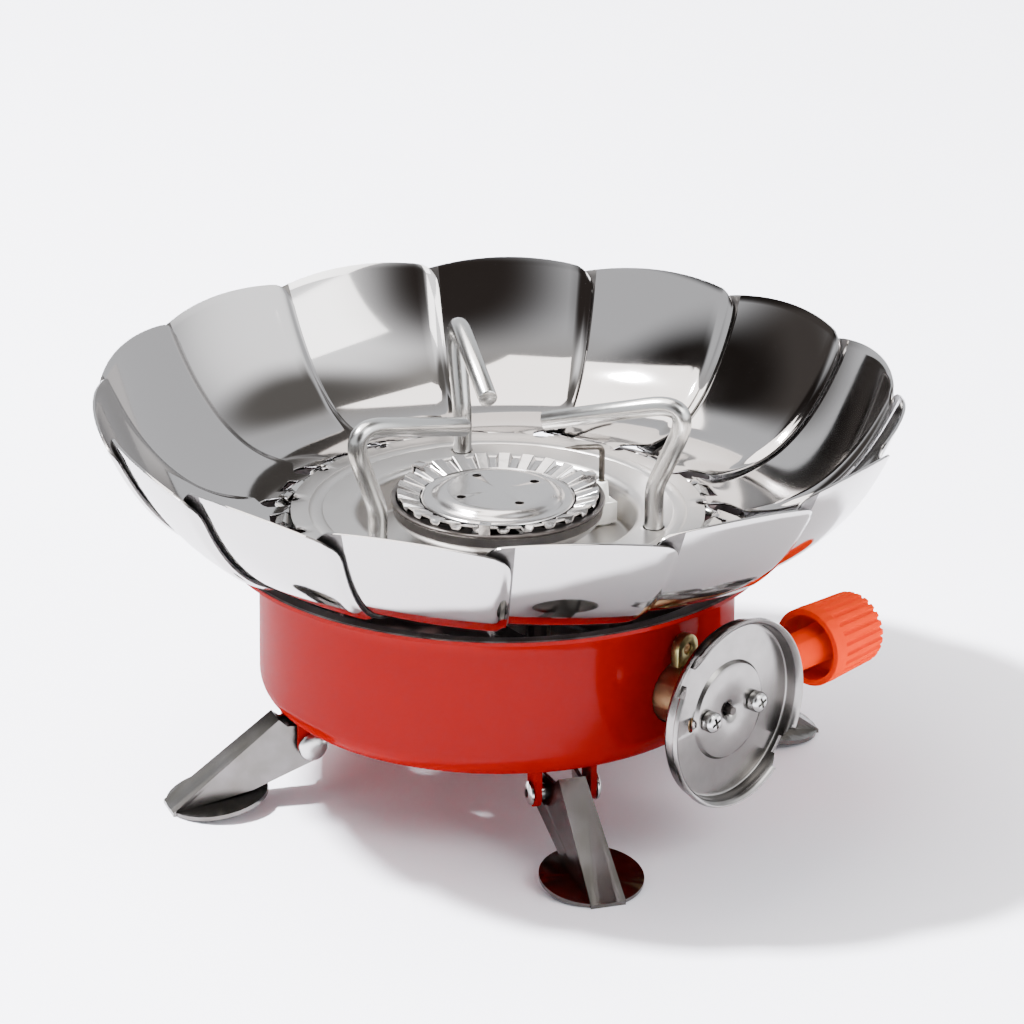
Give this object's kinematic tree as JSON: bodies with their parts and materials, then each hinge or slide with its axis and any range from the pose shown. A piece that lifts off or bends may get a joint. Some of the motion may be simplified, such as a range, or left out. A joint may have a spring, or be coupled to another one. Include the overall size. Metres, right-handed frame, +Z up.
{
  "type": "camping gas stove",
  "caption": "Compact camping gas stove: round red body on folding legs, a bowl of hinged steel petals as windshield, swivelling pot supports, a side valve with knob and a canister flange.",
  "frame": {"origin": "on the ground, on the axis of the round body", "axes": "+Z up along the body's axis; the canister flange faces the front right, and the front is -Y"},
  "size_m": [0.1615, 0.1617, 0.0847],
  "materials": {
    "red_enamel": "gloss enamel",
    "polished_steel": "mirror-polished stainless sheet",
    "pressed_steel": "satin pressed sheet",
    "zinc_steel": "bright bluish zinc plating",
    "olive_zinc": "yellow zinc plating",
    "brass": "turned",
    "orange_plastic": "moulded, semi-gloss",
    "dark_plastic": "moulded, matte",
    "red_plastic": "moulded, gloss",
    "ceramic": "glazed, off-white",
    "rubber": "matte"
  },
  "bodies": {
    "stove_body": {"body_pan": "red_enamel", "leg_bracket_1": "red_enamel", "leg_pin_1": "zinc_steel", "leg_bracket_2": "red_enamel", "leg_pin_2": "zinc_steel", "leg_bracket_3": "red_enamel", "leg_pin_3": "zinc_steel", "leg_bracket_4": "red_enamel", "leg_pin_4": "zinc_steel", "hub_disc": "polished_steel", "ring_carrier": "zinc_steel", "hinge_ring": "zinc_steel", "hub_pillar_1": "zinc_steel", "hub_pillar_2": "zinc_steel", "hub_pillar_3": "zinc_steel", "burner_cup": "pressed_steel", "flame_ring": "pressed_steel", "burner_cap": "pressed_steel", "mixing_tube": "zinc_steel", "jet_nozzle": "brass", "valve_body": "brass", "valve_bracket": "olive_zinc", "bracket_rivet": "zinc_steel", "packing_nut": "brass", "canister_flange": "polished_steel", "flange_screw_1": "zinc_steel", "flange_screw_2": "zinc_steel", "inlet_seal": "rubber", "inlet_pin": "brass", "igniter_ceramic": "ceramic", "igniter_electrode": "zinc_steel", "igniter_lead": "rubber", "piezo_igniter": "dark_plastic", "igniter_nut": "zinc_steel"},
    "leg_1": {"leg_1": "polished_steel"},
    "leg_2": {"leg_2": "polished_steel"},
    "leg_3": {"leg_3": "polished_steel"},
    "leg_4": {"leg_4": "polished_steel"},
    "petal_01": {"petal_01": "polished_steel"},
    "petal_02": {"petal_02": "polished_steel"},
    "petal_03": {"petal_03": "polished_steel"},
    "petal_04": {"petal_04": "polished_steel"},
    "petal_05": {"petal_05": "polished_steel"},
    "petal_06": {"petal_06": "polished_steel"},
    "petal_07": {"petal_07": "polished_steel"},
    "petal_08": {"petal_08": "polished_steel"},
    "petal_09": {"petal_09": "polished_steel"},
    "petal_10": {"petal_10": "polished_steel"},
    "petal_11": {"petal_11": "polished_steel"},
    "petal_12": {"petal_12": "polished_steel"},
    "petal_13": {"petal_13": "polished_steel"},
    "petal_14": {"petal_14": "polished_steel"},
    "petal_15": {"petal_15": "polished_steel"},
    "pot_support_1": {"pot_support_1": "zinc_steel"},
    "pot_support_2": {"pot_support_2": "zinc_steel"},
    "pot_support_3": {"pot_support_3": "zinc_steel"},
    "knob": {"knob": "orange_plastic", "valve_spindle": "brass"},
    "igniter_button": {"igniter_button": "red_plastic"}
  },
  "joints": [
    {"name": "leg_1_fold", "type": "hinge", "parent": "stove_body", "child": "leg_1", "pos_m": [0.01325, -0.0388, 0.013], "axis": [0.9464, 0.3231, 0], "range_deg": [0, 140]},
    {"name": "leg_2_fold", "type": "hinge", "parent": "stove_body", "child": "leg_2", "pos_m": [0.0388, 0.01325, 0.013], "axis": [-0.3231, 0.9464, 0], "range_deg": [0, 140]},
    {"name": "leg_3_fold", "type": "hinge", "parent": "stove_body", "child": "leg_3", "pos_m": [-0.01325, 0.0388, 0.013], "axis": [-0.9464, -0.3231, 0], "range_deg": [0, 140]},
    {"name": "leg_4_fold", "type": "hinge", "parent": "stove_body", "child": "leg_4", "pos_m": [-0.0388, -0.01325, 0.013], "axis": [0.3231, -0.9464, 0], "range_deg": [0, 140]},
    {"name": "petal_01_fold", "type": "hinge", "parent": "stove_body", "child": "petal_01", "pos_m": [0.0409, 0.01329, 0.0546], "axis": [0.1392, -0.9903, 0], "range_deg": [0, 56]},
    {"name": "petal_02_fold", "type": "hinge", "parent": "stove_body", "child": "petal_02", "pos_m": [0.03196, 0.02877, 0.0546], "axis": [0.5299, -0.848, 0], "range_deg": [0, 56]},
    {"name": "petal_03_fold", "type": "hinge", "parent": "stove_body", "child": "petal_03", "pos_m": [0.01749, 0.03928, 0.0546], "axis": [0.829, -0.5592, 0], "range_deg": [0, 56]},
    {"name": "petal_04_fold", "type": "hinge", "parent": "stove_body", "child": "petal_04", "pos_m": [0, 0.043, 0.0546], "axis": [0.9848, -0.1736, 0], "range_deg": [0, 56]},
    {"name": "petal_05_fold", "type": "hinge", "parent": "stove_body", "child": "petal_05", "pos_m": [-0.01749, 0.03928, 0.0546], "axis": [0.9703, 0.2419, 0], "range_deg": [0, 56]},
    {"name": "petal_06_fold", "type": "hinge", "parent": "stove_body", "child": "petal_06", "pos_m": [-0.03196, 0.02877, 0.0546], "axis": [0.788, 0.6157, 0], "range_deg": [0, 56]},
    {"name": "petal_07_fold", "type": "hinge", "parent": "stove_body", "child": "petal_07", "pos_m": [-0.0409, 0.01329, 0.0546], "axis": [0.4695, 0.8829, 0], "range_deg": [0, 56]},
    {"name": "petal_08_fold", "type": "hinge", "parent": "stove_body", "child": "petal_08", "pos_m": [-0.04276, -0.00449, 0.0546], "axis": [0.0698, 0.9976, 0], "range_deg": [0, 56]},
    {"name": "petal_09_fold", "type": "hinge", "parent": "stove_body", "child": "petal_09", "pos_m": [-0.03724, -0.0215, 0.0546], "axis": [-0.342, 0.9397, 0], "range_deg": [0, 56]},
    {"name": "petal_10_fold", "type": "hinge", "parent": "stove_body", "child": "petal_10", "pos_m": [-0.02527, -0.03479, 0.0546], "axis": [-0.6947, 0.7193, 0], "range_deg": [0, 56]},
    {"name": "petal_11_fold", "type": "hinge", "parent": "stove_body", "child": "petal_11", "pos_m": [-0.00894, -0.04206, 0.0546], "axis": [-0.9272, 0.3746, 0], "range_deg": [0, 56]},
    {"name": "petal_12_fold", "type": "hinge", "parent": "stove_body", "child": "petal_12", "pos_m": [0.00894, -0.04206, 0.0546], "axis": [-0.9994, -0.0349, 0], "range_deg": [0, 56]},
    {"name": "petal_13_fold", "type": "hinge", "parent": "stove_body", "child": "petal_13", "pos_m": [0.02527, -0.03479, 0.0546], "axis": [-0.8988, -0.4384, 0], "range_deg": [0, 56]},
    {"name": "petal_14_fold", "type": "hinge", "parent": "stove_body", "child": "petal_14", "pos_m": [0.03724, -0.0215, 0.0546], "axis": [-0.6428, -0.766, 0], "range_deg": [0, 56]},
    {"name": "petal_15_fold", "type": "hinge", "parent": "stove_body", "child": "petal_15", "pos_m": [0.04276, -0.00449, 0.0546], "axis": [-0.2756, -0.9613, 0], "range_deg": [0, 56]},
    {"name": "pot_support_1_swing", "type": "hinge", "parent": "stove_body", "child": "pot_support_1", "pos_m": [0.03115, -0.00928, 0.056], "axis": [0, 0, 1], "range_deg": [0, 80]},
    {"name": "pot_support_2_swing", "type": "hinge", "parent": "stove_body", "child": "pot_support_2", "pos_m": [-0.00753, 0.03162, 0.056], "axis": [0, 0, 1], "range_deg": [0, 80]},
    {"name": "pot_support_3_swing", "type": "hinge", "parent": "stove_body", "child": "pot_support_3", "pos_m": [-0.02361, -0.02233, 0.056], "axis": [0, 0, 1], "range_deg": [0, 80]},
    {"name": "knob_turn", "type": "hinge", "parent": "stove_body", "child": "knob", "pos_m": [0.06563, -0.00527, 0.031], "axis": [0.6691, 0.7431, 0], "range_deg": [0, 360]},
    {"name": "igniter_press", "type": "slide", "parent": "stove_body", "child": "igniter_button", "axis": [-0.4384, -0.8988, 0], "range_m": [0, 0.0033], "stiffness_N_per_m": 1500, "springref_m": -0.002}
  ],
  "couplings": [
    {"joint": "petal_02_fold", "follows": "petal_01_fold", "ratio": 1},
    {"joint": "petal_03_fold", "follows": "petal_01_fold", "ratio": 1},
    {"joint": "petal_04_fold", "follows": "petal_01_fold", "ratio": 1},
    {"joint": "petal_05_fold", "follows": "petal_01_fold", "ratio": 1},
    {"joint": "petal_06_fold", "follows": "petal_01_fold", "ratio": 1},
    {"joint": "petal_07_fold", "follows": "petal_01_fold", "ratio": 1},
    {"joint": "petal_08_fold", "follows": "petal_01_fold", "ratio": 1},
    {"joint": "petal_09_fold", "follows": "petal_01_fold", "ratio": 1},
    {"joint": "petal_10_fold", "follows": "petal_01_fold", "ratio": 1},
    {"joint": "petal_11_fold", "follows": "petal_01_fold", "ratio": 1},
    {"joint": "petal_12_fold", "follows": "petal_01_fold", "ratio": 1},
    {"joint": "petal_13_fold", "follows": "petal_01_fold", "ratio": 1},
    {"joint": "petal_14_fold", "follows": "petal_01_fold", "ratio": 1},
    {"joint": "petal_15_fold", "follows": "petal_01_fold", "ratio": 1}
  ]
}
